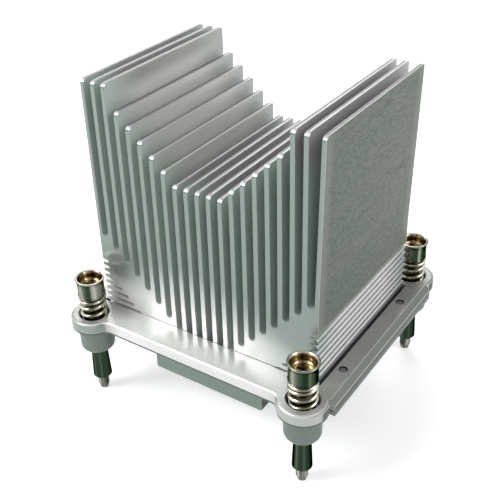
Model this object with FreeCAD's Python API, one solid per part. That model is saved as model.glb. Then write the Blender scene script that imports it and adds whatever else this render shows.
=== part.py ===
import FreeCAD, Part
import math
import os

# Passive server processor heatsink. Millimetres, +Z up, the fins run along Y.
# The origin is the centre of the face that presses on the processor.

# Fin block, one extrusion along Y
BLOCK_DEPTH = 60.0
BLOCK_HEIGHT = 99.3
FIN_COUNT = 21
FIN_PITCH = 3.97
FIN_TIP_THICKNESS = 1.4
FIN_ROOT_THICKNESS = 1.6
OUTER_FIN_THICKNESS = 1.15
OUTER_FIN_SPLAY = 1.1
FULL_HEIGHT_FINS = 3
STEPPED_FINS = 6
FIRST_STEP = 8.0
FIN_STEP = 3.76
FRONT_CORNER_RADIUS = 1.8
BACK_CORNER_RADIUS = 0.8

# V-shaped core with its side ribs, its foot and its pedestal
FIRST_SLOT_FLOOR = 46.4
SLOT_FLOOR_DROP = 3.9
LOWEST_SLOT_FLOOR = 15.2
ARM_UNDERSIDE_OFFSET = 6.0
RIB_GAP_COUNT = 8
RIB_GAP = 0.9
RIB_PITCH = 2.32
RIB_NOSE_RADIUS = 0.6
SHORTEST_RIB = 2.4
FOOT_SIDE_GAP = 1.6
PEDESTAL_WIDTH = 42.0
PEDESTAL_CHAMFER = 0.5

# Cast retention frame
FRAME_TOP = 20.2
FRAME_THICKNESS = 4.2
FRAME_DEPTH = 80.2
FRAME_EDGE_RADIUS = 1.0
EAR_RADIUS = 7.75
EAR_BLEND_RADIUS = 3.0
RAIL_SPAN = 97.2
RAIL_LENGTH = 68.0
RAIL_THICKNESS = 5.4
RAIL_BEVEL = 1.8
POCKET_SIDE_CLEARANCE = 1.2
POCKET_END_CLEARANCE = 0.15
SHELF_THICKNESS = 2.5
SHELF_OVERLAP = 4.0
WINDOW_CLEARANCE = 0.3
EJECTOR_MARK_RADIUS = 1.25
EJECTOR_MARK_DEPTH = 0.3
EJECTOR_MARK_SPACING_X = 87.6
EJECTOR_MARK_SPACING_Y = 40.2

# Spring cups under the frame's ears
SCREW_SPACING_X = 80.0
SCREW_SPACING_Y = 75.0
CUP_RADIUS = 5.8
CUP_BOTTOM = 6.0
CUP_TIP_ROUNDING = 2.4
WELL_RADIUS = 4.9
WELL_DEPTH = 8.6
WELL_CHAMFER = 0.4

# Captive screws
HEAD_STANDOFF = 7.3
HEAD_HEIGHT = 6.5
HEAD_RADIUS = 4.4
HEAD_RIM_RADIUS = 4.9
HEAD_RIM_HEIGHT = 1.8
HEAD_WALL = 0.75
HEAD_CUP_DEPTH = 3.2
HEAD_CUP_CONE = 0.9
HEAD_LIP = 0.2
HEAD_LIP_HEIGHT = 0.5
RECESS_SPAN = 4.6
RECESS_WING = 1.1
RECESS_DEPTH = 2.0
GUIDE_RADIUS = 2.9
GUIDE_LENGTH = 8.5
NECK_RADIUS = 2.3
NECK_CLEARANCE = 0.2
STUD_RADIUS = 1.95
STUD_LENGTH = 4.9
STUD_POINT_RADIUS = 1.4
STUD_POINT_LENGTH = 1.9

# Retaining sleeves on the necks of the captive screws
SLEEVE_LENGTH = 12.8
SLEEVE_TOP_RADIUS = 2.7
SLEEVE_BOTTOM_RADIUS = 3.2
SLEEVE_TOP_CHAMFER = 0.2
SLEEVE_BOTTOM_CHAMFER = 0.9

# Springs round the captive screws
SPRING_RADIUS = 3.95
WIRE_RADIUS = 0.6
WIRE_SIDES = 6
SPRING_TURNS = 6.5
CLOSED_TURNS = 1.0
SIDES_PER_TURN = 16

# Countersunk screws that hold the block's foot on the frame's shelves
FRAME_SCREW_SIDE_INSET = 9.8
FRAME_SCREW_END_INSET = 8.0
FRAME_SCREW_RADIUS = 1.5
FRAME_SCREW_CLEARANCE = 0.15
FRAME_SCREW_HEAD_RADIUS = 2.8
FRAME_SCREW_HEAD_HEIGHT = 1.5
FRAME_SCREW_LENGTH = 5.5
FRAME_SCREW_RECESS_SPAN = 3.2
FRAME_SCREW_RECESS_WING = 0.7
FRAME_SCREW_RECESS_DEPTH = 0.9

# How far a cutter reaches past the face that it opens
MARGIN = 1.0

# Two places closer than this are the same place
TOUCH = 0.01

CORNERS = {
    "front_left": (-1, -1),
    "front_right": (1, -1),
    "back_left": (-1, 1),
    "back_right": (1, 1),
}

CENTRE_FIN = (FIN_COUNT - 1) // 2
BLOCK_HALF_WIDTH = CENTRE_FIN * FIN_PITCH + OUTER_FIN_THICKNESS / 2
BLOCK_HALF_DEPTH = BLOCK_DEPTH / 2
CEILING = BLOCK_HEIGHT + MARGIN
FRAME_BOTTOM = FRAME_TOP - FRAME_THICKNESS
POCKET_WIDTH = 2 * (BLOCK_HALF_WIDTH + POCKET_SIDE_CLEARANCE)
POCKET_DEPTH = BLOCK_DEPTH + 2 * POCKET_END_CLEARANCE
FOOT_HALF_WIDTH = POCKET_WIDTH / 2 - FOOT_SIDE_GAP
SHELF_BOTTOM = FRAME_BOTTOM - SHELF_THICKNESS
WELL_FLOOR = FRAME_TOP - WELL_DEPTH
HEAD_BOTTOM = FRAME_TOP + HEAD_STANDOFF
HEAD_TOP = HEAD_BOTTOM + HEAD_HEIGHT
CUP_FLOOR = HEAD_TOP - HEAD_CUP_DEPTH
SPRING_LENGTH = HEAD_BOTTOM - WELL_FLOOR
SLEEVE_BOTTOM = CUP_BOTTOM - SLEEVE_LENGTH
STUD_END = SLEEVE_BOTTOM - STUD_LENGTH
FRAME_SCREW_SPACING_X = 2 * (BLOCK_HALF_WIDTH - FRAME_SCREW_SIDE_INSET)
FRAME_SCREW_SPACING_Y = 2 * (BLOCK_HALF_DEPTH - FRAME_SCREW_END_INSET)


def vec(x, y, z):
    return FreeCAD.Vector(x, y, z)


def centred_box(width, depth, low, high):
    return Part.makeBox(width, depth, high - low, vec(-width / 2, -depth / 2, low))


def upright_cylinder(radius, low, high):
    return Part.makeCylinder(radius, high - low, vec(0, 0, low))


def turned(profile):
    # A closed outline of (radius, height) points turned round the Z axis
    points = [vec(radius, 0, height) for radius, height in profile]
    face = Part.Face(Part.makePolygon(points + [points[0]]))
    return face.revolve(vec(0, 0, 0), vec(0, 0, 1), 360)


def at_corners(shape, spacing_x, spacing_y):
    copies = []
    for side_x, side_y in CORNERS.values():
        copy = shape.copy()
        copy.translate(vec(side_x * spacing_x / 2, side_y * spacing_y / 2, 0))
        copies.append(copy)
    return copies


def cross_recess(span, wing, depth, top):
    # Two crossed wings that taper to a point below
    blades = []
    for angle in (0, 90):
        points = [vec(-span / 2, 0, top), vec(span / 2, 0, top), vec(0, 0, top - depth)]
        face = Part.Face(Part.makePolygon(points + [points[0]]))
        blade = face.extrude(vec(0, wing, 0))
        blade.translate(vec(0, -wing / 2, 0))
        blade.rotate(vec(0, 0, 0), vec(0, 0, 1), angle)
        blades.append(blade)
    return blades[0].fuse(blades[1])


def save(shape, name):
    shape.exportStep("parts/" + name + ".step")


# Fin block

def fin_centre(index):
    return (index - CENTRE_FIN) * FIN_PITCH


def fins_from_side(index):
    return min(index, FIN_COUNT - 1 - index)


def fin_top(index):
    steps = min(fins_from_side(index) - FULL_HEIGHT_FINS, STEPPED_FINS - 1)
    if steps < 0:
        return BLOCK_HEIGHT
    return BLOCK_HEIGHT - FIRST_STEP - steps * FIN_STEP


def fin_splay(index):
    # The last fin leans outward at its top
    if index == FIN_COUNT - 1:
        return OUTER_FIN_SPLAY
    return 0.0


def half_thickness(index, inner_half):
    if fins_from_side(index) == 0:
        return OUTER_FIN_THICKNESS / 2
    return inner_half


def slot_floor(index):
    # Floor of the slot between this fin and the next one
    from_side = min(index, FIN_COUNT - 2 - index)
    return max(FIRST_SLOT_FLOOR - from_side * SLOT_FLOOR_DROP, LOWEST_SLOT_FLOOR)


def flat_point(point):
    return vec(point[0], 0, point[1])


def flat_polygon(points):
    corners = [flat_point(point) for point in points]
    return Part.Face(Part.makePolygon(corners + [corners[0]]))


def flat_face(pieces):
    # Each piece is a line of two (x, z) points, or an arc through three
    edges = []
    for piece in pieces:
        corners = [flat_point(point) for point in piece]
        if len(corners) == 2:
            edges.append(Part.LineSegment(*corners).toShape())
        else:
            edges.append(Part.Arc(*corners).toShape())
    return Part.Face(Part.Wire(edges))


def block_outline():
    # The stepped fins as if they were solid, then down the sides to the pedestal
    half_pedestal = PEDESTAL_WIDTH / 2
    side = [
        (BLOCK_HALF_WIDTH, FIRST_SLOT_FLOOR),
        (BLOCK_HALF_WIDTH, FRAME_TOP),
        (FOOT_HALF_WIDTH, FRAME_TOP),
        (FOOT_HALF_WIDTH, FRAME_BOTTOM),
        (half_pedestal, FRAME_BOTTOM),
        (half_pedestal, PEDESTAL_CHAMFER),
        (half_pedestal - PEDESTAL_CHAMFER, 0),
    ]
    steps = []
    for index in range(FIN_COUNT):
        left = fin_centre(index) - FIN_PITCH / 2
        right = fin_centre(index) + FIN_PITCH / 2
        if index == 0:
            left = -BLOCK_HALF_WIDTH
        if index == FIN_COUNT - 1:
            right = BLOCK_HALF_WIDTH + fin_splay(index)
        steps.append((left, fin_top(index)))
        steps.append((right, fin_top(index)))
    mirrored = [(-x, z) for x, z in reversed(side)]
    return flat_polygon(steps + side + mirrored)


def slot_face(index):
    # Tapered slot with a round floor, between this fin and the next one
    tip_half = FIN_TIP_THICKNESS / 2
    root_half = FIN_ROOT_THICKNESS / 2
    left = fin_centre(index) + half_thickness(index, root_half)
    right = fin_centre(index + 1) - half_thickness(index + 1, root_half)
    left_tip = fin_centre(index) + half_thickness(index, tip_half)
    right_tip = fin_centre(index + 1) + fin_splay(index + 1) - half_thickness(index + 1, tip_half)
    radius = (right - left) / 2
    floor = slot_floor(index)
    start = (left, floor + radius)
    end = (right, floor + radius)
    left_top = (left_tip, fin_top(index))
    right_top = (right_tip, fin_top(index + 1))
    return flat_face([
        (start, ((left + right) / 2, floor), end),
        (end, right_top),
        (right_top, (right_tip, CEILING)),
        ((right_tip, CEILING), (left_tip, CEILING)),
        ((left_tip, CEILING), left_top),
        (left_top, start),
    ])


def rib_gap_face(index):
    # Gap between two side ribs on the right, with the ribs' round noses at its mouth
    middle = FRAME_TOP + index * RIB_PITCH
    half = RIB_GAP / 2
    inner = min(middle + ARM_UNDERSIDE_OFFSET, BLOCK_HALF_WIDTH - SHORTEST_RIB)
    mouth = BLOCK_HALF_WIDTH - RIB_NOSE_RADIUS
    bend = RIB_NOSE_RADIUS * math.sqrt(0.5)
    wide = half + RIB_NOSE_RADIUS
    outside = BLOCK_HALF_WIDTH + MARGIN
    upper_bend = (mouth + bend, middle + wide - bend)
    lower_bend = (mouth + bend, middle - wide + bend)
    return flat_face([
        ((outside, middle - wide), (outside, middle + wide)),
        ((outside, middle + wide), (BLOCK_HALF_WIDTH, middle + wide)),
        ((BLOCK_HALF_WIDTH, middle + wide), upper_bend, (mouth, middle + half)),
        ((mouth, middle + half), (inner + half, middle + half)),
        ((inner + half, middle + half), (inner, middle), (inner + half, middle - half)),
        ((inner + half, middle - half), (mouth, middle - half)),
        ((mouth, middle - half), lower_bend, (BLOCK_HALF_WIDTH, middle - wide)),
        ((BLOCK_HALF_WIDTH, middle - wide), (outside, middle - wide)),
    ])


def corner_cutter(first, last, radius, side_y):
    # Rounds the end corner of a run of fins that share one height
    low_x = fin_centre(first) - FIN_PITCH / 2
    high_x = fin_centre(last) + FIN_PITCH / 2
    top = fin_top(first)
    length = high_x - low_x
    block = Part.makeBox(length, radius + MARGIN, radius + MARGIN, vec(low_x, 0, 0))
    tube = Part.makeCylinder(radius, length, vec(low_x, 0, 0), vec(1, 0, 0))
    cutter = block.cut(tube)
    cutter.translate(vec(0, BLOCK_HALF_DEPTH - radius, top - radius))
    if side_y < 0:
        cutter = cutter.mirror(vec(0, 0, 0), vec(0, 1, 0))
    return cutter


def fin_runs():
    # First and last fin of each run of equal height
    runs = []
    first = 0
    for index in range(1, FIN_COUNT + 1):
        if index == FIN_COUNT or fin_top(index) != fin_top(first):
            runs.append((first, index - 1))
            first = index
    return runs


def make_fin_block():
    gaps = [slot_face(index) for index in range(FIN_COUNT - 1)]
    for index in range(RIB_GAP_COUNT):
        gap = rib_gap_face(index)
        gaps.append(gap)
        gaps.append(gap.mirror(vec(0, 0, 0), vec(1, 0, 0)))
    profile = block_outline().cut(gaps)
    block = profile.Faces[0].extrude(vec(0, BLOCK_DEPTH, 0))
    block.translate(vec(0, -BLOCK_HALF_DEPTH, 0))
    cutters = []
    for first, last in fin_runs():
        cutters.append(corner_cutter(first, last, FRONT_CORNER_RADIUS, -1))
        cutters.append(corner_cutter(first, last, BACK_CORNER_RADIUS, 1))
    hole_top = SHELF_BOTTOM + FRAME_SCREW_LENGTH
    hole = upright_cylinder(FRAME_SCREW_RADIUS, FRAME_BOTTOM - MARGIN, hole_top)
    cutters += at_corners(hole, FRAME_SCREW_SPACING_X, FRAME_SCREW_SPACING_Y)
    return block.cut(cutters)


# Retention frame

def centred_at(edge, x, y):
    # Whether the edge's middle is this far from both centre lines
    middle = edge.CenterOfMass
    return abs(abs(middle.x) - x) < TOUCH and abs(abs(middle.y) - y) < TOUCH


def ear_plate():
    # The front and back bars with the four round ears
    ear = upright_cylinder(EAR_RADIUS, FRAME_BOTTOM, FRAME_TOP)
    bars = centred_box(SCREW_SPACING_X, FRAME_DEPTH, FRAME_BOTTOM, FRAME_TOP)
    plate = bars.fuse(at_corners(ear, SCREW_SPACING_X, SCREW_SPACING_Y)).removeSplitter()
    inset = math.sqrt(EAR_RADIUS ** 2 - (FRAME_DEPTH / 2 - SCREW_SPACING_Y / 2) ** 2)
    notch_x = SCREW_SPACING_X / 2 - inset
    notches = [edge for edge in plate.Edges if centred_at(edge, notch_x, FRAME_DEPTH / 2)]
    plate = plate.makeFillet(EAR_BLEND_RADIUS, notches)
    rim = [edge for edge in plate.Edges if edge.BoundBox.ZMin > FRAME_TOP - TOUCH]
    return plate.makeFillet(FRAME_EDGE_RADIUS, rim)


def side_rail():
    # Right-hand rail, bevelled along its top outer edge
    outer = RAIL_SPAN / 2
    inner = POCKET_WIDTH / 2 - MARGIN
    low = FRAME_TOP - RAIL_THICKNESS
    face = flat_polygon([
        (inner, low),
        (outer, low),
        (outer, FRAME_TOP - RAIL_BEVEL),
        (outer - RAIL_BEVEL, FRAME_TOP),
        (inner, FRAME_TOP),
    ])
    rail = face.extrude(vec(0, RAIL_LENGTH, 0))
    rail.translate(vec(0, -RAIL_LENGTH / 2, 0))
    return rail


def spring_cup():
    # Straight cup with a rounded lower edge, to be hollowed later
    cup = upright_cylinder(CUP_RADIUS, CUP_BOTTOM, FRAME_TOP - MARGIN)
    rim = [edge for edge in cup.Edges if edge.BoundBox.ZMax < CUP_BOTTOM + TOUCH]
    return cup.makeFillet(CUP_TIP_ROUNDING, rim)


def spring_well():
    # The spring's bore with a chamfered mouth, and the neck's hole through its floor
    neck_hole = NECK_RADIUS + NECK_CLEARANCE
    return turned([
        (0, CUP_BOTTOM - MARGIN),
        (neck_hole, CUP_BOTTOM - MARGIN),
        (neck_hole, WELL_FLOOR),
        (WELL_RADIUS, WELL_FLOOR),
        (WELL_RADIUS, FRAME_TOP - WELL_CHAMFER),
        (WELL_RADIUS + WELL_CHAMFER + MARGIN, FRAME_TOP + MARGIN),
        (0, FRAME_TOP + MARGIN),
    ])


def countersink():
    shank = FRAME_SCREW_RADIUS + FRAME_SCREW_CLEARANCE
    head_top = SHELF_BOTTOM + FRAME_SCREW_HEAD_HEIGHT
    return turned([
        (0, SHELF_BOTTOM - MARGIN),
        (FRAME_SCREW_HEAD_RADIUS, SHELF_BOTTOM - MARGIN),
        (FRAME_SCREW_HEAD_RADIUS, SHELF_BOTTOM),
        (FRAME_SCREW_RADIUS, head_top),
        (shank, head_top),
        (shank, FRAME_BOTTOM + MARGIN),
        (0, FRAME_BOTTOM + MARGIN),
    ])


def make_retention_frame():
    rail = side_rail()
    shelf_width = POCKET_WIDTH + 2 * SHELF_OVERLAP
    shelves = centred_box(shelf_width, RAIL_LENGTH, SHELF_BOTTOM, FRAME_BOTTOM + MARGIN)
    solids = [rail, rail.mirror(vec(0, 0, 0), vec(1, 0, 0)), shelves]
    solids += at_corners(spring_cup(), SCREW_SPACING_X, SCREW_SPACING_Y)
    frame = ear_plate().fuse(solids)
    pocket = centred_box(POCKET_WIDTH, POCKET_DEPTH, FRAME_BOTTOM, FRAME_TOP + MARGIN)
    window_width = PEDESTAL_WIDTH + 2 * WINDOW_CLEARANCE
    window = centred_box(window_width, POCKET_DEPTH, SHELF_BOTTOM - MARGIN, FRAME_TOP)
    mark = upright_cylinder(EJECTOR_MARK_RADIUS, FRAME_TOP - EJECTOR_MARK_DEPTH, FRAME_TOP + MARGIN)
    cutters = [pocket, window]
    cutters += at_corners(spring_well(), SCREW_SPACING_X, SCREW_SPACING_Y)
    cutters += at_corners(countersink(), FRAME_SCREW_SPACING_X, FRAME_SCREW_SPACING_Y)
    cutters += at_corners(mark, EJECTOR_MARK_SPACING_X, EJECTOR_MARK_SPACING_Y)
    return frame.cut(cutters).removeSplitter()


# Fasteners and springs

def make_captive_screw():
    guide_bottom = HEAD_BOTTOM - GUIDE_LENGTH
    wall = HEAD_RADIUS - HEAD_WALL
    body = turned([
        (0, CUP_FLOOR),
        (wall - HEAD_CUP_CONE, CUP_FLOOR),
        (wall, CUP_FLOOR + HEAD_CUP_CONE),
        (wall, HEAD_TOP - HEAD_WALL),
        (HEAD_RIM_RADIUS - HEAD_WALL, HEAD_TOP),
        (HEAD_RIM_RADIUS, HEAD_TOP),
        (HEAD_RADIUS, HEAD_TOP - HEAD_RIM_HEIGHT),
        (HEAD_RADIUS, HEAD_BOTTOM + HEAD_LIP_HEIGHT),
        (HEAD_RADIUS + HEAD_LIP, HEAD_BOTTOM + HEAD_LIP_HEIGHT),
        (HEAD_RADIUS + HEAD_LIP, HEAD_BOTTOM),
        (GUIDE_RADIUS, HEAD_BOTTOM),
        (GUIDE_RADIUS, guide_bottom),
        (NECK_RADIUS, guide_bottom),
        (NECK_RADIUS, SLEEVE_BOTTOM),
        (STUD_RADIUS, SLEEVE_BOTTOM),
        (STUD_RADIUS, STUD_END + STUD_POINT_LENGTH),
        (STUD_POINT_RADIUS, STUD_END),
        (0, STUD_END),
    ])
    return body.cut(cross_recess(RECESS_SPAN, RECESS_WING, RECESS_DEPTH, CUP_FLOOR))


def make_retaining_sleeve():
    return turned([
        (NECK_RADIUS, CUP_BOTTOM),
        (SLEEVE_TOP_RADIUS - SLEEVE_TOP_CHAMFER, CUP_BOTTOM),
        (SLEEVE_TOP_RADIUS, CUP_BOTTOM - SLEEVE_TOP_CHAMFER),
        (SLEEVE_BOTTOM_RADIUS, SLEEVE_BOTTOM + SLEEVE_BOTTOM_CHAMFER),
        (SLEEVE_BOTTOM_RADIUS - SLEEVE_BOTTOM_CHAMFER, SLEEVE_BOTTOM),
        (NECK_RADIUS, SLEEVE_BOTTOM),
    ])


def coil_height(turn):
    # Height of the wire's centre after so many turns: both ends closed, the rest open
    closed_rise = CLOSED_TURNS * 2 * WIRE_RADIUS
    open_turns = SPRING_TURNS - 2 * CLOSED_TURNS
    open_rise = SPRING_LENGTH - 2 * WIRE_RADIUS - 2 * closed_rise
    if turn <= CLOSED_TURNS:
        rise = turn * 2 * WIRE_RADIUS
    elif turn <= CLOSED_TURNS + open_turns:
        rise = closed_rise + (turn - CLOSED_TURNS) / open_turns * open_rise
    else:
        rise = SPRING_LENGTH - 2 * WIRE_RADIUS - (SPRING_TURNS - turn) * 2 * WIRE_RADIUS
    return WELL_FLOOR + WIRE_RADIUS + rise


def make_spring():
    path = []
    for step in range(int(SPRING_TURNS * SIDES_PER_TURN) + 1):
        turn = step / SIDES_PER_TURN
        angle = 2 * math.pi * turn
        place = vec(SPRING_RADIUS * math.cos(angle), SPRING_RADIUS * math.sin(angle), coil_height(turn))
        path.append(place)
    section = []
    for side in range(WIRE_SIDES):
        angle = 2 * math.pi * side / WIRE_SIDES
        section.append(path[0] + vec(WIRE_RADIUS * math.cos(angle), 0, WIRE_RADIUS * math.sin(angle)))
    sweep = Part.BRepOffsetAPI.MakePipeShell(Part.makePolygon(path))
    sweep.setTransitionMode(1)
    sweep.add(Part.makePolygon(section + [section[0]]))
    sweep.build()
    sweep.makeSolid()
    return sweep.shape()


def make_frame_screw():
    head_top = SHELF_BOTTOM + FRAME_SCREW_HEAD_HEIGHT
    screw = turned([
        (0, SHELF_BOTTOM),
        (FRAME_SCREW_HEAD_RADIUS, SHELF_BOTTOM),
        (FRAME_SCREW_RADIUS, head_top),
        (FRAME_SCREW_RADIUS, SHELF_BOTTOM + FRAME_SCREW_LENGTH),
        (0, SHELF_BOTTOM + FRAME_SCREW_LENGTH),
    ])
    recess = cross_recess(
        FRAME_SCREW_RECESS_SPAN, FRAME_SCREW_RECESS_WING, FRAME_SCREW_RECESS_DEPTH, 0)
    recess.rotate(vec(0, 0, 0), vec(1, 0, 0), 180)
    recess.translate(vec(0, 0, SHELF_BOTTOM))
    return screw.cut(recess)


def save_at_corners(shape, name, spacing_x, spacing_y):
    copies = at_corners(shape, spacing_x, spacing_y)
    for corner, copy in zip(CORNERS, copies):
        save(copy, name + "_" + corner)


def main():
    os.makedirs("parts", exist_ok=True)
    save(make_fin_block(), "fin_block")
    save(make_retention_frame(), "retention_frame")
    save_at_corners(make_captive_screw(), "captive_screw", SCREW_SPACING_X, SCREW_SPACING_Y)
    save_at_corners(make_retaining_sleeve(), "retaining_sleeve", SCREW_SPACING_X, SCREW_SPACING_Y)
    save_at_corners(make_spring(), "screw_spring", SCREW_SPACING_X, SCREW_SPACING_Y)
    save_at_corners(make_frame_screw(), "frame_screw", FRAME_SCREW_SPACING_X, FRAME_SCREW_SPACING_Y)


main()
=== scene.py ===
import math

import bpy
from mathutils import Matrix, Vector

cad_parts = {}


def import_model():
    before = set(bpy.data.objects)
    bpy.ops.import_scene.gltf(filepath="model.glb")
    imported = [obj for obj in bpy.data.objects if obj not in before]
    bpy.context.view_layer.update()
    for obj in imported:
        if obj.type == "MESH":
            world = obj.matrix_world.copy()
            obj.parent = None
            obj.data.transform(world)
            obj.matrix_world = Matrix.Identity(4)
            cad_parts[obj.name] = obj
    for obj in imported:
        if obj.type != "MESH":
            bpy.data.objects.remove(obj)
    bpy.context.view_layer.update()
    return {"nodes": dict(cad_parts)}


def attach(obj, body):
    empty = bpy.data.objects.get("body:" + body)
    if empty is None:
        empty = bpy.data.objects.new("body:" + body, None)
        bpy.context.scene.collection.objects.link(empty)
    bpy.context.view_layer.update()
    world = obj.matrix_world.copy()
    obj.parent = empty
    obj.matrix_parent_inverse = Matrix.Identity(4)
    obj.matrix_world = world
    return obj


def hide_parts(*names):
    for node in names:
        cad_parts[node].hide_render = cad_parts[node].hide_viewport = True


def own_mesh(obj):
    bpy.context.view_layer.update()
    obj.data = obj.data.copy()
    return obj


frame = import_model()

MM = 0.001

# Sizes in millimetres, as in the CAD solids
FIN_PITCH = 3.97
BLOCK_END = 30.0
FRAME_TOP = 20.2
RAIL_EDGE = 48.6
RAIL_BEVEL = 1.8
MARK_X = 43.8
MARK_Y = 20.1
SCREW_X = 40.0
SCREW_Y = 37.5
WELL_FLOOR = 11.6
HEAD_BOTTOM = 27.5
HEAD_TOP = 34.0
HEAD_RADIUS = 4.4
CUP_FLOOR = 30.8
CUP_RADIUS = 3.65
RECESS_LENGTH = 4.6
RECESS_WIDTH = 1.1
RECESS_DEPTH = 2.0
GUIDE_RADIUS = 2.9
GUIDE_BOTTOM = 19.0
NECK_RADIUS = 2.3
SLEEVE_BOTTOM = -6.8
STUD_RADIUS = 1.95
STUD_END = -11.7
POINT_RADIUS = 1.4
POINT_LENGTH = 1.9
SPRING_RADIUS = 3.95
WIRE_RADIUS = 0.6
SPRING_TURNS = 6.5
CLOSED_TURNS = 1.0

# Finer forms of the screws, in millimetres
CUP_FLOOR_RING = 2.5
CUP_FLOOR_ROUNDING = 1.1
CUP_MOUTH = ((CUP_RADIUS, 32.6), (3.72, 33.2), (3.95, 33.7))
FLARE_REACH = 0.46
FLARE_TOP = HEAD_TOP - 0.25
FLARE_HEIGHT = 1.75
FLARE_STEPS = 8
BARREL_RINGS = (31.0, 29.5, HEAD_BOTTOM + 0.55)
GUIDE_CHAMFER = 0.3
THREAD_PITCH = 0.7
THREAD_DEPTH = 0.32
THREAD_FADE = 0.5
POINT_TAPER = (STUD_RADIUS - POINT_RADIUS) / POINT_LENGTH
OVERLAP = 0.02

# Arcs of the head: radius and height of the centre, arc radius, first and last angle, steps
LIP_INSIDE = (4.35, HEAD_TOP - 0.25, 0.25, 120, 90, 2)
LIP_OUTSIDE = (4.65, HEAD_TOP - 0.21, 0.21, 90, 0, 4)
BEAD = (4.42, HEAD_BOTTOM + 0.36, 0.18, 80, -80, 5)

# The cross recess narrows a little just below its mouth and more toward its floor
RECESS_MOUTH_DROP = 0.12
RECESS_MOUTH_SHARE = 0.97
RECESS_FLOOR_SHARE = 0.6

# Heights and radii in millimetres where one material of the screw meets another
LIP_BOTTOM = 33.65
RIM_INSIDE = 4.79
GOLD_OUTSIDE = 4.0
TOUCH = 0.01

# Places, sizes and slopes of the painted finish and of the painted light and shade on the block and the
# frame, in millimetres
RIBS_TOP = 38.5
PEDESTAL_TOP = 15.0
NEXT_FIN_SLOPE = 0.947
NEXT_FIN_HEIGHT = 61.2
# Top of the darker skin with its painted shade, and the line of painted shade at the frame's lower edge
CASTING_SKIN_AND_SHADE_TOP = 16.4
CASTING_SHADE_LINE = 16.3
MARK_RIM_RADIUS = 1.22
OVAL_MARK_CENTRE = (-34.5, 48.9)
OVAL_MARK_SIZE = (5.2, 2.6)
OVAL_MARK_SLANT = 0.28
# Place and size of a painted glow of reflected light on the front end
PAINTED_GLOW_CENTRE = (-4, 18)
PAINTED_GLOW_SIZE = (35, 22)

# How finely the meshes are divided
SCREW_SIDES = 72
THREAD_STEPS = 64
COIL_STEPS = 56
WIRE_SIDES = 14

CORNERS = {
    "front_left": (-1, -1),
    "front_right": (1, -1),
    "back_left": (-1, 1),
    "back_right": (1, 1),
}


# Node helpers

class Field:
    # A number or a colour that changes over the surface: a node's output, with arithmetic
    def __init__(self, tree, socket):
        self.tree = tree
        self.socket = socket

    def __add__(self, other):
        return calculate("ADD", self, other)

    def __sub__(self, other):
        return calculate("SUBTRACT", self, other)

    def __rsub__(self, other):
        return calculate("MULTIPLY_ADD", self, -1.0, other)

    def __mul__(self, other):
        return calculate("MULTIPLY", self, other)

    def __truediv__(self, other):
        return calculate("DIVIDE", self, other)

    def __abs__(self):
        return calculate("ABSOLUTE", self)


def connect(value, socket):
    # A field is linked; a number or a colour is set on the socket itself
    if isinstance(value, Field):
        value.tree.links.new(value.socket, socket)
    elif socket.type == "RGBA":
        socket.default_value = value + (1.0,)
    else:
        socket.default_value = value


def calculate(operation, first, *others):
    node = first.tree.nodes.new("ShaderNodeMath")
    node.operation = operation
    for value, socket in zip((first,) + others, node.inputs):
        connect(value, socket)
    return Field(first.tree, node.outputs[0])


def length_of(across, up):
    return calculate("SQRT", across * across + up * up)


def map_range(value, interpolation, start, end, low, high):
    node = value.tree.nodes.new("ShaderNodeMapRange")
    node.interpolation_type = interpolation
    for name, number in (("From Min", start), ("From Max", end), ("To Min", low), ("To Max", high)):
        node.inputs[name].default_value = number
    connect(value, node.inputs["Value"])
    return Field(value.tree, node.outputs["Result"])


def step(value, start, end):
    # 0 before the start, 1 past the end, smooth between them, in either direction
    return map_range(value, "SMOOTHSTEP", start, end, 0.0, 1.0)


def spread(value, low, high, start=0.3, end=0.7):
    # The middle of a noise, stretched to run from low to high
    return map_range(value, "LINEAR", start, end, low, high)


# The sockets that a mix node uses for colours, by their place
MIX_FACTOR, MIX_FIRST, MIX_SECOND, MIX_RESULT = 0, 6, 7, 2


def blend(factor, first, second):
    # The first colour where the factor is 0, the second where it is 1
    node = factor.tree.nodes.new("ShaderNodeMix")
    node.data_type = "RGBA"
    for value, place in ((factor, MIX_FACTOR), (first, MIX_FIRST), (second, MIX_SECOND)):
        connect(value, node.inputs[place])
    return Field(factor.tree, node.outputs[MIX_RESULT])


def parts_of(tree, source):
    # The three parts of the object's coordinates, in metres, or of its own normals
    coordinates = tree.nodes.new("ShaderNodeTexCoord")
    split = tree.nodes.new("ShaderNodeSeparateXYZ")
    tree.links.new(coordinates.outputs[source], split.inputs[0])
    return [Field(tree, socket) for socket in split.outputs]


def near_line(a, place_a, b, place_b, reach):
    # 1 on a straight edge, 0 further from it than the reach
    return step(abs(a - place_a) + abs(b - place_b), reach, 0.3 * reach)


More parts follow.
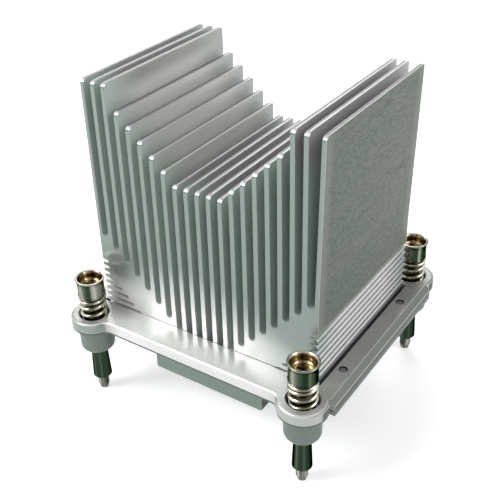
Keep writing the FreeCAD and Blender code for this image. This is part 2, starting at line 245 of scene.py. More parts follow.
class Surface:
    # A material, with each point's place in millimetres and its direction as fields
    def __init__(self, name):
        self.material = bpy.data.materials.new(name)
        self.material.use_nodes = True
        self.tree = self.material.node_tree
        self.tree.nodes.clear()
        self.shader = self.tree.nodes.new("ShaderNodeBsdfPrincipled")
        output = self.tree.nodes.new("ShaderNodeOutputMaterial")
        self.tree.links.new(self.shader.outputs[0], output.inputs[0])
        self.x, self.y, self.z = (part / MM for part in parts_of(self.tree, "Object"))
        self.nx, self.ny, self.nz = parts_of(self.tree, "Normal")

    def noise(self, scale, detail=4.0, roughness=0.55):
        # A large scale makes a fine pattern along that axis
        coordinates = self.tree.nodes.new("ShaderNodeTexCoord")
        mapping = self.tree.nodes.new("ShaderNodeMapping")
        mapping.inputs["Scale"].default_value = scale
        node = self.tree.nodes.new("ShaderNodeTexNoise")
        node.inputs["Scale"].default_value = 1.0
        node.inputs["Detail"].default_value = detail
        node.inputs["Roughness"].default_value = roughness
        self.tree.links.new(coordinates.outputs["Object"], mapping.inputs["Vector"])
        self.tree.links.new(mapping.outputs["Vector"], node.inputs["Vector"])
        return Field(self.tree, node.outputs["Fac"])

    def bands(self, stops):
        # Painted reflections, light and dark round an upright axis: each stop is a direction in degrees and
        # a brightness
        turn = calculate("ARCTAN2", self.ny, self.nx)
        ramp = self.tree.nodes.new("ShaderNodeValToRGB")
        ramp.color_ramp.interpolation = "EASE"
        elements = ramp.color_ramp.elements
        for direction, amount in stops[1:-1]:
            elements.new((direction + 180) / 360).color = (amount, amount, amount, 1)
        elements[0].color = (stops[0][1],) * 3 + (1,)
        elements[-1].color = (stops[-1][1],) * 3 + (1,)
        connect(turn * (0.5 / math.pi) + 0.5, ramp.inputs[0])
        return Field(self.tree, ramp.outputs[0])

    def bump(self, height, distance, strength):
        node = self.tree.nodes.new("ShaderNodeBump")
        node.inputs["Distance"].default_value = distance
        node.inputs["Strength"].default_value = strength
        connect(height, node.inputs["Height"])
        self.tree.links.new(node.outputs["Normal"], self.shader.inputs["Normal"])

    def finish(self, colour, metallic, roughness):
        connect(colour, self.shader.inputs["Base Color"])
        connect(metallic, self.shader.inputs["Metallic"])
        connect(roughness, self.shader.inputs["Roughness"])
        return self.material


# The fin block

FIN_SIDE = ((0.59, 0.59, 0.57), (0.47, 0.475, 0.455))
FIN_SIDE_STREAK = (0.70, 0.70, 0.68)
# Painted light where a fin's side lies below the top of the next fin
FIN_SIDE_PAINTED_LIGHT = (0.90, 0.89, 0.87)
MIDDLE_FINS = (0.47, 0.46, 0.455)
# Painted shade near the tops of the high outer fins, and painted light lower down
THIRD_FIN_SHADE_AND_LIGHT = ((0.30, 0.305, 0.29), (0.90, 0.91, 0.89))
OUTER_GAPS = (0.42, 0.435, 0.42)
RIGHT_FINS = (0.66, 0.65, 0.66)
# Painted shade near the tops of the right fins
RIGHT_FINS_TOP_PAINTED_SHADE = (0.41, 0.403, 0.41)
# Painted light in the slots near the ends, more low down and less at the back
NEAR_ENDS_PAINTED_LIGHT = ((0.50, 0.560, 0.530), (0.43, 0.495, 0.465))
NEAR_ENDS_LOW_PAINTED_LIGHT = (0.63, 0.68, 0.65)
NEAR_BACK_END_PAINTED_LIGHT = (0.38, 0.405, 0.39)
# Painted light in the rib gaps on the left
RIB_GAPS_LEFT_PAINTED_LIGHT = (0.80, 0.82, 0.80)
# Painted shade on the pedestal's sides and everything below its top
PEDESTAL_SIDES_PAINTED_SHADE = (0.055, 0.070, 0.058)


def slot_ends_painted_light(at):
    # The fins' sides near the block's two ends, a greener tone with painted light that lifts the shade in
    # the slots, more of it low down and less at the back end
    colour = blend(step(at.x, -5, 20), *NEAR_ENDS_PAINTED_LIGHT)
    colour = blend(step(at.z, 36, 22), colour, NEAR_ENDS_LOW_PAINTED_LIGHT)
    return blend(step(at.y, 0, 20), colour, NEAR_BACK_END_PAINTED_LIGHT)


def fin_sides(at, strokes, drawn):
    # Painted light on each fin below the top of its inner neighbour and on the left rib gaps; the outer ones
    # darken upward with painted shade, the right ones carry painted shade near their tops, and all is dark
    # with painted shade below the pedestal's top
    out = abs(at.x)
    colour = blend(spread(strokes, 0.0, 0.4), *FIN_SIDE)
    colour = blend(spread(drawn, 0.0, 0.45), colour, FIN_SIDE_STREAK)
    next_fin = out * NEXT_FIN_SLOPE + NEXT_FIN_HEIGHT
    colour = blend(step(at.z - next_fin, 3, -3), colour, FIN_SIDE_PAINTED_LIGHT)
    colour = blend(step(out, 10.5, 9.5), colour, MIDDLE_FINS)
    third = blend(step(at.z, 97.5, 89.0), *THIRD_FIN_SHADE_AND_LIGHT)
    third = blend(step(out, 32.5, 34.0), third, OUTER_GAPS)
    colour = blend(step(out, 28.5, 30.0), colour, third)
    right = step(at.x, 26, 29)
    colour = blend(right, colour, RIGHT_FINS)
    colour = blend(step(abs(at.y), 12, 31), colour, slot_ends_painted_light(at))
    colour = blend(right * step(at.z, 86, 94), colour, RIGHT_FINS_TOP_PAINTED_SHADE)
    colour = blend(step(at.z, PEDESTAL_TOP, PEDESTAL_TOP - 0.3), colour, PEDESTAL_SIDES_PAINTED_SHADE)
    lit_rib_gaps = step(at.z, RIBS_TOP, RIBS_TOP - 1) * step(at.x, -27.5, -28.5) * step(abs(at.y), 22, 29)
    return blend(lit_rib_gaps, colour, RIB_GAPS_LEFT_PAINTED_LIGHT)


OUTER_SKIN = ((0.018, 0.035, 0.021), (0.142, 0.168, 0.140))
OUTER_SKIN_STREAK = (0.145, 0.153, 0.138)
OUTER_RIBS = (0.27, 0.285, 0.265)
# Painted highlights along the outer fins' margins and edges at the ends
OUTER_MARGIN_HIGHLIGHT = (0.185, 0.20, 0.175)
OUTER_EDGE_HIGHLIGHT = (0.42, 0.44, 0.42)


def outer_skin(at, speckle, drawn):
    # A dull hatched skin on the outermost fins, with brighter ribs, and painted highlights along the margins
    # and edges at the ends
    depth = abs(at.y)
    hatch = at.noise((3400, 420, 3400), 1.0, 0.5)
    colour = blend(spread(speckle * 0.5 + hatch * 0.5, 0.0, 1.0, 0.35, 0.65), *OUTER_SKIN)
    colour = blend(spread(drawn, 0.0, 0.35), colour, OUTER_SKIN_STREAK)
    colour = blend(step(at.z, RIBS_TOP, RIBS_TOP - 1.5), colour, OUTER_RIBS)
    colour = blend(step(depth, 24.5, 28.5) * 0.6, colour, OUTER_MARGIN_HIGHLIGHT)
    return blend(step(depth, BLOCK_END - 0.5, BLOCK_END - 0.1), colour, OUTER_EDGE_HIGHLIGHT)


CUT_END = ((0.210, 0.252, 0.230), (0.257, 0.300, 0.276))
CUT_END_LEFT = (0.235, 0.272, 0.248)
# Painted light low on the left of the cut ends
CUT_END_LOWER_LEFT_PAINTED_LIGHT = (0.88, 0.89, 0.87)
CUT_END_RIGHT = (0.25, 0.28, 0.265)
# A painted glow, a soft reflection of light, low in the middle
CUT_END_PAINTED_GLOW = (0.58, 0.59, 0.575)
# Painted shade on the pedestal's end under the frame
PEDESTAL_END_PAINTED_SHADE = (0.19, 0.25, 0.215)
OVAL_MARK = (0.47, 0.48, 0.45)


def oval_ring_mark(at, drawn):
    # A faint slanted oval ring on the front end, above the ribs on the left
    across = (at.x - OVAL_MARK_CENTRE[0]) / OVAL_MARK_SIZE[0]
    up = (at.z - at.x * OVAL_MARK_SLANT - OVAL_MARK_CENTRE[1]) / OVAL_MARK_SIZE[1]
    ring = step(abs(length_of(across, up) - 0.85), 0.42, 0.0)
    front = step(at.y, 0.5 - BLOCK_END, 0.1 - BLOCK_END)
    return ring * front * spread(drawn, 0.15, 0.75, 0.35, 0.65)


def cut_ends(at, speckle, drawn, left, lower_left):
    # Cut faces, pale with painted light low on the left, a painted glow of reflected light low in the
    # middle, and painted shade on the pedestal's end
    colour = blend(spread(speckle, 0.0, 0.6), *CUT_END)
    colour = blend(left, colour, CUT_END_LEFT)
    colour = blend(lower_left, colour, CUT_END_LOWER_LEFT_PAINTED_LIGHT)
    colour = blend(oval_ring_mark(at, drawn), colour, OVAL_MARK)
    colour = blend(step(at.x, 12, 34) * step(at.z, 52, 30), colour, CUT_END_RIGHT)
    across = (at.x - PAINTED_GLOW_CENTRE[0]) / PAINTED_GLOW_SIZE[0]
    up = (at.z - PAINTED_GLOW_CENTRE[1]) / PAINTED_GLOW_SIZE[1]
    colour = blend(step(across * across + up * up, 1.5, 0.1), colour, CUT_END_PAINTED_GLOW)
    return blend(step(at.z, PEDESTAL_TOP + 0.5, PEDESTAL_TOP), colour, PEDESTAL_END_PAINTED_SHADE)


# Painted shade on the fin tops, with a painted highlight line and painted corner highlights
FIN_TOP_PAINTED_SHADE = (0.135, 0.134, 0.133)
FIN_TOP_HIGHLIGHT_LINE = (0.42, 0.42, 0.415)
FIN_TOP_LEFT_PAINTED_SHADE = (0.20, 0.20, 0.197)
FIN_TOP_OUTER_HALF = (0.38, 0.38, 0.375)
FIN_TOP_CORNER_HIGHLIGHTS = (0.43, 0.44, 0.43)


def fin_tops(at):
    # Painted shade on the tops, darker on the left, with a painted highlight line along the middle of each
    # top and painted highlights on the rounded corners
    off_centre = calculate("PINGPONG", (at.x - 0.3) / FIN_PITCH, 0.5)
    colour = blend(step(off_centre, 0.10, 0.04), FIN_TOP_PAINTED_SHADE, FIN_TOP_HIGHLIGHT_LINE)
    colour = blend(step(at.x, -28, -30), colour, FIN_TOP_LEFT_PAINTED_SHADE)
    colour = blend(step(abs(at.x), 41.0, 41.2), colour, FIN_TOP_OUTER_HALF)
    return blend(step(at.nz, 0.995, 0.95), colour, FIN_TOP_CORNER_HIGHLIGHTS)


CONTACT_FACE = ((0.46, 0.47, 0.46), (0.60, 0.61, 0.60))


def extruded_aluminium():
    # Drawn faces inside and outside, cut ends, narrow fin tops and a ground contact face
    at = Surface("extruded_aluminium")
    strokes = at.noise((1300, 80, 1300), 4.0, 0.65)
    drawn = at.noise((240, 9, 240), 3.0)
    speckle = at.noise((2300, 1500, 2300), 3.0, 0.7)

    end = step(abs(at.ny), 0.5, 0.85)
    left_end = end * step(at.x, -18, -26)
    left = left_end * step(at.z, 47, 42)
    lower_left = left_end * step(at.z, 34.5, 24.5)

    outside = step(at.x * at.nx, 38.0, 39.5)
    colour = blend(outside, fin_sides(at, strokes, drawn), outer_skin(at, speckle, drawn))
    colour = blend(end, colour, cut_ends(at, speckle, drawn, left, lower_left))
    colour = blend(step(at.nz, 0.35, 0.8) * step(at.z, 46, 50), colour, fin_tops(at))
    contact = blend(spread(strokes, 0.0, 1.0), *CONTACT_FACE)
    colour = blend(step(at.nz, -0.5, -0.9) * step(at.z, 1.5, 1.0), colour, contact)

    dull = lower_left * 0.65 + left * 0.35
    drawn_side = 1.0 - end
    at.bump(strokes * drawn_side, 0.05 * MM, 0.25)
    metallic = end * 0.35 + 0.45 + dull * -0.60
    roughness = drawn_side * spread(strokes, 0.42, 0.54) + end * 0.27 + dull * 0.22
    return at.finish(colour, metallic, roughness)


# The retention frame

FRAME_TOP_FACE = ((0.60, 0.605, 0.59), (0.72, 0.725, 0.71))
FRAME_TOP_CLOUD = (0.78, 0.785, 0.77)
# Painted shade on the tops of the ears and rails
EARS_AND_RAILS_PAINTED_SHADE = ((0.31, 0.315, 0.302), (0.40, 0.405, 0.392))
FRONT_RIGHT_EAR_PAINTED_SHADE = (0.47, 0.475, 0.46)
# Painted shade on the rails' sides and the ears' walls, and a dark line of painted shade at the lower edge
RAIL_BEVEL_PAINTED_SHADE = (0.165, 0.178, 0.163)
RAIL_OUTER_PAINTED_SHADE = (0.070, 0.086, 0.070)
EAR_WALLS_PAINTED_SHADE = ((0.28, 0.31, 0.288), (0.43, 0.445, 0.425))
LOWER_EDGE_PAINTED_SHADE = (0.10, 0.115, 0.10)
# A darker skin below the top, partly painted shade
CAST_SKIN_AND_SHADE = ((0.132, 0.158, 0.141), (0.180, 0.207, 0.188))
# Painted highlights along the rails' bevel edges
EDGE_HIGHLIGHT = (0.46, 0.47, 0.455)
MARK_FLOOR = (0.20, 0.205, 0.20)
MARK_RIM = (0.05, 0.052, 0.05)
HIGHLIGHT_EDGES = ((RAIL_EDGE - RAIL_BEVEL, FRAME_TOP), (RAIL_EDGE, FRAME_TOP - RAIL_BEVEL))


def frame_top(at, grain, cloud, level):
    # Bright between the ears, with painted shade that makes the ears and rails greyer, less of it on the
    # front right ear
    colour = blend(grain, *FRAME_TOP_FACE)
    colour = blend(spread(cloud, 0.0, 0.4), colour, FRAME_TOP_CLOUD)
    grey = blend(grain, *EARS_AND_RAILS_PAINTED_SHADE)
    grey = blend(step(at.x, 0, 20) * step(at.y, -5, -34), grey, FRONT_RIGHT_EAR_PAINTED_SHADE)
    beside = calculate("MAXIMUM", step(abs(at.x), 35, 40), step(at.x, -31, -40))
    return blend(level * beside, colour, grey)


def frame_sides(at, colour):
    # Painted shade on the rails' bevels and outer faces and on the ears' upright walls, more on the left,
    # and a dark line of painted shade along the lower edge
    across = abs(at.nx)
    colour = blend(step(across, 0.5, 0.65), colour, RAIL_BEVEL_PAINTED_SHADE)
    colour = blend(step(across, 0.85, 0.96), colour, RAIL_OUTER_PAINTED_SHADE)
    wall = step(abs(at.nz), 0.7, 0.3) * step(abs(at.x), 26, 37) * step(across, 0.99, 0.95)
    colour = blend(wall, colour, blend(step(at.x, -20, 20), *EAR_WALLS_PAINTED_SHADE))
    return blend(step(abs(at.z - CASTING_SHADE_LINE), 0.5, 0.2), colour, LOWER_EDGE_PAINTED_SHADE)


def ejector_marks(at, level, colour):
    # A grey floor and a dark rim on the round mark by each corner
    away = length_of(abs(at.x) - MARK_X, abs(at.y) - MARK_Y)
    colour = blend(level * step(away, 1.45, 1.20), colour, MARK_FLOOR)
    rim = step(abs(away - MARK_RIM_RADIUS), 0.30, 0.12) * step(at.z, 19.0, 19.5)
    return blend(rim, colour, MARK_RIM)


def cast_aluminium():
    # A tumbled top, painted highlights along the rails' edges, and a darker skin below that is partly
    # painted shade
    at = Surface("cast_aluminium")
    speckle = at.noise((1500, 1500, 1500), 4.0)
    cloud = at.noise((140, 140, 140), 3.0)
    grain = spread(speckle, 0.0, 1.0)
    level = step(at.nz, 0.5, 0.8)
    colour = frame_sides(at, frame_top(at, grain, cloud, level))
    colour = blend(step(at.z, CASTING_SKIN_AND_SHADE_TOP, CASTING_SKIN_AND_SHADE_TOP - 1.4), colour, blend(grain, *CAST_SKIN_AND_SHADE))
    # Painted highlights along the rails' bevel edges
    for out, up in HIGHLIGHT_EDGES:
        colour = blend(near_line(abs(at.x), out, at.z, up, 0.3), colour, EDGE_HIGHLIGHT)
    colour = ejector_marks(at, level, colour)
    at.bump(speckle, 0.08 * MM, 0.3)
    return at.finish(colour, 0.6, spread(cloud, 0.36, 0.46))


# Painted reflections on plating, as light and dark streaks: a direction in degrees and a brightness for each
# stop

BARREL_BANDS = (
    (-180, 0.25), (-160, 0.30), (-146, 0.45), (-122, 0.30), (-104, 0.55), (-92, 0.22), (-80, 0.08),
    (-69, 0.04), (-58, 0.0), (-46, 0.0), (-35, 0.15), (-24, 0.05), (8, 0.04), (22, 0.20), (33, 0.50),
    (60, 0.20), (90, 0.65), (105, 0.05), (150, 0.45), (180, 0.25))
BARREL_LEFT = (
    (-180, 0.40), (-146, 0.55), (-114, 0.90), (-101, 0.60), (-90, 0.42), (-79, 0.12), (-64, 0.02),
    (-52, 0.02), (-43, 0.35), (-33, 0.58), (-20, 0.46), (-7, 0.58), (8, 0.40), (33, 0.60), (60, 0.20),
    (90, 0.65), (105, 0.05), (150, 0.45), (180, 0.30))
BARREL_BACK = (
    (-180, 0.25), (-146, 0.45), (-114, 0.40), (-95, 0.50), (-76, 0.42), (-66, 0.02), (-48, 0.01),
    (-42, 0.35), (-36, 0.45), (-30, 0.05), (-12, 0.03), (0, 0.20), (33, 0.40), (60, 0.20), (90, 0.65),
    (105, 0.05), (150, 0.45), (180, 0.25))
CUP_BANDS = (
    (-180, 0.40), (-146, 0.42), (-112, 0.45), (-92, 0.95), (-76, 0.25), (-57, 0.02), (-40, 0.25),
    (-24, 0.95), (-8, 0.35), (33, 0.22), (60, 0.50), (90, 0.10), (120, 0.80), (150, 0.25), (180, 0.40))
LIP_BANDS = (
    (-180, 0.55), (-146, 0.60), (-112, 0.65), (-92, 0.95), (-76, 0.50), (-57, 0.40), (-40, 0.50),
    (-24, 0.95), (-8, 0.55), (33, 0.45), (60, 0.60), (90, 0.35), (120, 0.85), (150, 0.45), (180, 0.55))
LIP_LEFT = (
    (-180, 0.10), (-146, 0.12), (-112, 0.50), (-92, 0.40), (-76, 0.34), (-57, 0.32), (-40, 0.38),
    (-24, 0.45), (-8, 0.40), (33, 0.20), (60, 0.30), (90, 0.20), (120, 0.30), (150, 0.10), (180, 0.10))
LIP_BACK = (
    (-180, 0.08), (-146, 0.10), (-118, 0.85), (-92, 0.35), (-76, 0.28), (-57, 0.26), (-40, 0.25),
    (-24, 0.15), (-8, 0.08), (33, 0.05), (60, 0.10), (90, 0.20), (120, 0.20), (150, 0.15), (180, 0.20))
SPRING_BANDS = (
    (-180, 0.40), (-146, 0.35), (-122, 0.95), (-104, 0.75), (-84, 0.30), (-66, 0.03), (-48, 0.03),
    (-34, 0.35), (-16, 0.95), (0, 0.60), (33, 0.50), (60, 0.15), (90, 0.90), (120, 0.10), (150, 0.70),
    (180, 0.40))
SLEEVE_BANDS = (
    (-180, 0.20), (-146, 0.60), (-115, 0.15), (-95, 0.75), (-82, 0.10), (-62, 0.05), (-50, 0.40),
    (-38, 0.05), (-15, 0.10), (15, 0.30), (33, 0.50), (60, 0.20), (90, 0.60), (120, 0.10), (150, 0.50),
    (180, 0.20))


# Half the width of the change from one set of painted reflections to another, in millimetres
CHANGEOVER = 5.0


def plated(name, dark, light, tint, roughness, stops, left=None, back=None):
    # Bright plating with painted reflections as streaks round it, which may differ on the left and on the
    # back screws
    at = Surface(name)
    connect(tint, at.shader.inputs["Specular Tint"])
    cloud = at.noise((900, 900, 300), 3.0)
    amount = at.bands(stops)
    if back:
        amount = step(at.y, -CHANGEOVER, CHANGEOVER) * (at.bands(back) - amount) + amount
    if left:
        amount = step(at.x, CHANGEOVER, -CHANGEOVER) * (at.bands(left) - amount) + amount
    at.bump(cloud, 0.03 * MM, 0.15)
    return at.finish(blend(amount, dark, light), 1.0, spread(cloud, *roughness))


# Meshes

def mesh_object(name, vertices, faces, material_list, indices=None, angle=35.0):
    mesh = bpy.data.meshes.new(name)
    mesh.from_pydata([tuple(v) for v in vertices], [], faces)
    for material in material_list:
        mesh.materials.append(material)
    if indices is not None:
        mesh.polygons.foreach_set("material_index", indices)
    mesh.polygons.foreach_set("use_smooth", [True] * len(mesh.polygons))
    mesh.set_sharp_from_angle(angle=math.radians(angle))
    mesh.update()
    obj = bpy.data.objects.new(name, mesh)
    bpy.context.scene.collection.objects.link(obj)
    return obj


def arc(centre_r, centre_z, radius, start, end, steps):
    points = []
    for i in range(steps + 1):
        angle = math.radians(start + (end - start) * i / steps)
        points.append((centre_r + radius * math.cos(angle), centre_z + radius * math.sin(angle)))
    return points


def flare():
    # The barrel widens toward its lip in a curve
    points = []
    for i in range(1, FLARE_STEPS + 1):
        t = i / FLARE_STEPS
        points.append((HEAD_RADIUS + FLARE_REACH * (1 - t) ** 2, FLARE_TOP - FLARE_HEIGHT * t))
    return points


def head_profile():
    # Radius and height from the cup's floor over the lip and down to the end of the neck
    rounding = CUP_FLOOR_ROUNDING
    profile = [(CUP_FLOOR_RING, CUP_FLOOR)]
    profile += arc(CUP_RADIUS - rounding, CUP_FLOOR + rounding, rounding, -90, 0, 6)
    profile += CUP_MOUTH
    profile += arc(*LIP_INSIDE)
    profile += arc(*LIP_OUTSIDE)
    profile += flare()
    profile += [(HEAD_RADIUS, z) for z in BARREL_RINGS]
    profile += arc(*BEAD)
    profile += [(HEAD_RADIUS, HEAD_BOTTOM), (GUIDE_RADIUS, HEAD_BOTTOM)]
    profile += [(GUIDE_RADIUS, GUIDE_BOTTOM + GUIDE_CHAMFER), (GUIDE_RADIUS - GUIDE_CHAMFER, GUIDE_BOTTOM)]
    profile += [(NECK_RADIUS, GUIDE_BOTTOM), (NECK_RADIUS, SLEEVE_BOTTOM)]
    return profile


def cross_radius(angle):
    # Distance from the middle to the side of the cross recess
    across = max(abs(math.cos(angle)), 1e-6)
    along = max(abs(math.sin(angle)), 1e-6)
    half_length, half_width = RECESS_LENGTH / 2, RECESS_WIDTH / 2
    one_wing = min(half_length / across, half_width / along)
    other_wing = min(half_width / across, half_length / along)
    return max(one_wing, other_wing)


def thread_heights():
    # From just inside the sleeve down to the end of the stud
    start = SLEEVE_BOTTOM - OVERLAP
    return [start + (STUD_END - start) * i / THREAD_STEPS for i in range(THREAD_STEPS + 1)]


def thread_radius(z, angle):
    # A thread that fades out at the sleeve and a ground point at the end
    phase = (z / THREAD_PITCH + angle / (2 * math.pi)) % 1.0
    depth = THREAD_DEPTH * abs(2 * phase - 1)
    fade = min(1.0, max(0.0, (SLEEVE_BOTTOM - z) / THREAD_FADE))
    point = STUD_RADIUS - max(0.0, STUD_END + POINT_LENGTH - z) * POINT_TAPER
    return min(point, STUD_RADIUS - depth * fade)


# The places of the screw's materials in its list
PLATING, GOLD, THREAD, GUIDE, LIP, RIM = range(6)


def head_part(first, second):
    # The material between two rings that follow each other, given by their radius and height
    first_radius, first_height = first
    second_radius, second_height = second
    if second_radius > RIM_INSIDE:
        return RIM
    if first_height > LIP_BOTTOM:
        return LIP
    in_cup = min(first_height, second_height) > CUP_FLOOR - TOUCH
    if in_cup and max(first_radius, second_radius) < GOLD_OUTSIDE:
        return GOLD
    if second_height < HEAD_BOTTOM - TOUCH:
        return GUIDE
    return PLATING


def screw_rings():
    # Each ring has a height, a radius for each direction and a material for the band before it
    rings = [
        (CUP_FLOOR - RECESS_DEPTH, lambda angle: RECESS_FLOOR_SHARE * cross_radius(angle), GOLD),
        (CUP_FLOOR - RECESS_MOUTH_DROP, lambda angle: RECESS_MOUTH_SHARE * cross_radius(angle), GOLD),
        (CUP_FLOOR, cross_radius, GOLD),
    ]
    previous = (RECESS_LENGTH / 2, CUP_FLOOR)
    for radius, z in head_profile():
        rings.append((z, lambda angle, radius=radius: radius, head_part(previous, (radius, z))))
        previous = (radius, z)
    for z in thread_heights():
        rings.append((z, lambda angle, z=z: thread_radius(z, angle), THREAD))
    return rings


def screw_mesh(corner, side_x, side_y, materials):
    # A closed skin from the floor of the recess to the tip of the stud
    cx = side_x * SCREW_X
    cy = side_y * SCREW_Y
    vertices = [(cx * MM, cy * MM, (CUP_FLOOR - RECESS_DEPTH) * MM)]
    faces, indices = [], []
    for number, (z, radius_at, material) in enumerate(screw_rings()):
        start = len(vertices)
        for k in range(SCREW_SIDES):
            angle = 2 * math.pi * k / SCREW_SIDES
            r = radius_at(angle)
            vertices.append(((cx + r * math.cos(angle)) * MM, (cy + r * math.sin(angle)) * MM, z * MM))
        before = start - SCREW_SIDES
        for k in range(SCREW_SIDES):
            n = (k + 1) % SCREW_SIDES
            if number == 0:
                faces.append((0, start + k, start + n))
            else:
                faces.append((before + n, before + k, start + k, start + n))
            indices.append(material)
    tip = len(vertices)
    vertices.append((cx * MM, cy * MM, STUD_END * MM))
    for k in range(SCREW_SIDES):
        faces.append((start + (k + 1) % SCREW_SIDES, start + k, tip))
        indices.append(THREAD)
    return mesh_object("screw_" + corner, vertices, faces, materials, indices)


def coil_height(turn):
    # Closed turns at both ends, and evenly spaced turns between them
    thickness = 2 * WIRE_RADIUS
    full_rise = HEAD_BOTTOM - WELL_FLOOR - thickness
    closed_rise = CLOSED_TURNS * thickness
    open_turns = SPRING_TURNS - 2 * CLOSED_TURNS
    open_rise = full_rise - 2 * closed_rise
    if turn <= CLOSED_TURNS:
        rise = turn * thickness
    elif turn <= CLOSED_TURNS + open_turns:
        rise = closed_rise + (turn - CLOSED_TURNS) / open_turns * open_rise
    else:
        rise = full_rise - (SPRING_TURNS - turn) * thickness
    return WELL_FLOOR + WIRE_RADIUS + rise


def spring_mesh(corner, side_x, side_y, material):
    # The front right coil is turned half way round, as it happens to sit
    start = math.pi if corner == "front_right" else 0.0
    cx = side_x * SCREW_X
    cy = side_y * SCREW_Y
    count = int(SPRING_TURNS * COIL_STEPS)
    around = WIRE_SIDES
    vertices, faces = [], []
    for i in range(count + 1):
        turn = i / COIL_STEPS
        angle = 2 * math.pi * turn + start
        outward = Vector((math.cos(angle), math.sin(angle), 0))
        centre = Vector((cx, cy, coil_height(turn))) + outward * SPRING_RADIUS
        for k in range(around):
            a = 2 * math.pi * k / around
            side = outward * math.cos(a) + Vector((0, 0, math.sin(a)))
            vertices.append((centre + side * WIRE_RADIUS) * MM)
    for i in range(count):
        for k in range(around):
            n = (k + 1) % around
            faces.append((i * around + k, (i + 1) * around + k, (i + 1) * around + n, i * around + n))
    faces.append(tuple(range(around)))
    faces.append(tuple(reversed(range(count * around, (count + 1) * around))))
    return mesh_object("spring_" + corner, vertices, faces, [material], angle=60.0)


# The object

def paint(node, material):
    mesh = frame["nodes"][node].data
    mesh.materials.clear()
    mesh.materials.append(material)


fins = extruded_aluminium()
casting = cast_aluminium()
# The lip, rim and guide platings are lighter and darker copies of the head's nickel: a painted highlight on
# the lip, painted shade on the outer rim, and painted light on the guide where it shows between the coils
nickel = plated("nickel_plating", (0.013, 0.030, 0.014), (0.62, 0.62, 0.54), (0.2, 0.22, 0.18), (0.08, 0.14),
                BARREL_BANDS, BARREL_LEFT, BARREL_BACK)
rim = plated("rim_plating", (0.035, 0.042, 0.032), (0.30, 0.30, 0.26), (0.15, 0.15, 0.13), (0.10, 0.16),
             LIP_BANDS)
lip = plated("lip_plating", (0.13, 0.12, 0.10), (0.70, 0.65, 0.60), (0.15, 0.15, 0.13), (0.10, 0.16),
             LIP_BANDS, LIP_LEFT, LIP_BACK)
guide = plated("guide_plating", (0.17, 0.15, 0.105), (0.55, 0.51, 0.41), (0.6, 0.55, 0.45), (0.18, 0.26),
               BARREL_BANDS)
gold = plated("gold_plating", (0.065, 0.042, 0.026), (0.74, 0.62, 0.38), (0.7, 0.6, 0.4), (0.12, 0.20),
              CUP_BANDS)
wire = plated("spring_wire", (0.130, 0.121, 0.086), (0.88, 0.86, 0.75), (0.5, 0.48, 0.4), (0.10, 0.18),
              SPRING_BANDS)
dark = plated("dark_steel", (0.019, 0.032, 0.020), (0.118, 0.152, 0.118), (0.1, 0.13, 0.1), (0.16, 0.26),
              SLEEVE_BANDS)
stud = plated("stud_steel", (0.12, 0.13, 0.11), (0.48, 0.48, 0.46), (0.5, 0.5, 0.5), (0.22, 0.34),
              SLEEVE_BANDS)
zinc = plated("zinc_plating", (0.46, 0.46, 0.46), (0.60, 0.60, 0.60), (0.8, 0.8, 0.8), (0.25, 0.35),
              SLEEVE_BANDS)

paint("fin_block", fins)
paint("retention_frame", casting)
for corner, (side_x, side_y) in CORNERS.items():
    paint("retaining_sleeve_" + corner, dark)
    paint("frame_screw_" + corner, zinc)
    screw = screw_mesh(corner, side_x, side_y, [nickel, gold, stud, guide, lip, rim])
    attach(screw, "screw_" + corner)
    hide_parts("captive_screw_" + corner)
    spring = spring_mesh(corner, side_x, side_y, wire)
    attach(spring, "base")
    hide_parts("screw_spring_" + corner)
    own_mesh(spring)


# Floor, world, lamps and camera: places in metres, turns in degrees, the lens in millimetres

FLOOR_HALF_SIZE = 3.0
FLOOR_COLOUR = (0.85, 0.86, 0.86)
FLOOR_GLOW = 0.45
FAR_FLOOR = (0.25, 0.65)
AMBIENT = 0.45
LAMP_TARGET = (0, 0, 0.04)
LAMPS = (
    ("key", (-0.40, -0.42, 0.57), (0.35, 0.35), 4.0),
    ("back", (-0.35, 0.50, 0.45), (0.45, 0.3), 2.0),
    ("side", (0.60, 0.10, 0.45), (0.4, 0.4), 1.8),
)
CAMERA_PLACE = (0.13088, -0.19824, 0.18712)
CAMERA_TURN = (59.001, 1.8226, 34.0)
CAMERA_LENS = 61.158
CAMERA_SENSOR = 36.0
CAMERA_SHIFT = (0.0325, -0.0368)
CAMERA_NEAR = 0.01


def ray_is_seen(tree):
    # 1 for camera, glossy and transmission rays, otherwise 0
    path = tree.nodes.new("ShaderNodeLightPath")
    either = Field(tree, path.outputs["Is Camera Ray"])
    for name in ("Is Glossy Ray", "Is Transmission Ray"):
        either = calculate("MAXIMUM", either, Field(tree, path.outputs[name]))
    return either


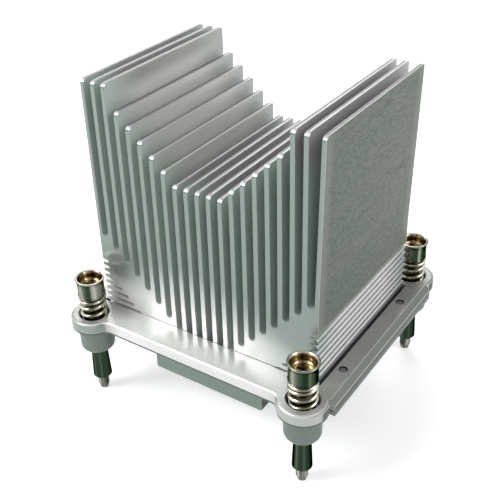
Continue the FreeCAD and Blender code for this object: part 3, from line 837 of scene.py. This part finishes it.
def floor():
    # A pale floor that takes the object's shadow and glows more brightly further away
    mesh = bpy.data.meshes.new("floor")
    size = FLOOR_HALF_SIZE
    z = STUD_END * MM
    corners = [(-size, -size, z), (size, -size, z), (size, size, z), (-size, size, z)]
    mesh.from_pydata(corners, [], [(0, 1, 2, 3)])
    obj = bpy.data.objects.new("floor", mesh)
    bpy.context.scene.collection.objects.link(obj)
    material = bpy.data.materials.new("floor")
    material.use_nodes = True
    tree = material.node_tree
    tree.nodes.clear()
    diffuse = tree.nodes.new("ShaderNodeBsdfDiffuse")
    connect(FLOOR_COLOUR, diffuse.inputs["Color"])
    glow = tree.nodes.new("ShaderNodeEmission")
    far = step(length_of(*parts_of(tree, "Object")[:2]), *FAR_FLOOR)
    strength = far * (1.0 - FLOOR_GLOW) + FLOOR_GLOW
    connect(strength * ray_is_seen(tree), glow.inputs["Strength"])
    both = tree.nodes.new("ShaderNodeAddShader")
    output = tree.nodes.new("ShaderNodeOutputMaterial")
    tree.links.new(diffuse.outputs[0], both.inputs[0])
    tree.links.new(glow.outputs[0], both.inputs[1])
    tree.links.new(both.outputs[0], output.inputs[0])
    mesh.materials.append(material)


def world():
    scene_world = bpy.data.worlds.new("world")
    bpy.context.scene.world = scene_world
    scene_world.use_nodes = True
    tree = scene_world.node_tree
    tree.nodes.clear()
    background = tree.nodes.new("ShaderNodeBackground")
    background.inputs["Color"].default_value = (1, 1, 1, 1)
    connect(spread(ray_is_seen(tree), AMBIENT, 1.0, 0.0, 1.0), background.inputs["Strength"])
    output = tree.nodes.new("ShaderNodeOutputWorld")
    tree.links.new(background.outputs[0], output.inputs[0])


def area_lamp(name, place, size, power):
    data = bpy.data.lights.new(name, "AREA")
    data.shape = "RECTANGLE"
    data.size, data.size_y = size
    data.energy = power
    obj = bpy.data.objects.new(name, data)
    obj.location = place
    obj.rotation_euler = (Vector(LAMP_TARGET) - Vector(place)).to_track_quat("-Z", "Y").to_euler()
    bpy.context.scene.collection.objects.link(obj)


def camera():
    data = bpy.data.cameras.new("camera")
    data.sensor_width = CAMERA_SENSOR
    data.lens = CAMERA_LENS
    data.shift_x, data.shift_y = CAMERA_SHIFT
    data.clip_start = CAMERA_NEAR
    obj = bpy.data.objects.new("camera", data)
    obj.location = CAMERA_PLACE
    obj.rotation_mode = "XYZ"
    obj.rotation_euler = [math.radians(turn) for turn in CAMERA_TURN]
    bpy.context.scene.collection.objects.link(obj)
    bpy.context.scene.camera = obj


floor()
world()
for lamp in LAMPS:
    area_lamp(*lamp)
camera()
bpy.context.scene.view_settings.view_transform = "Standard"
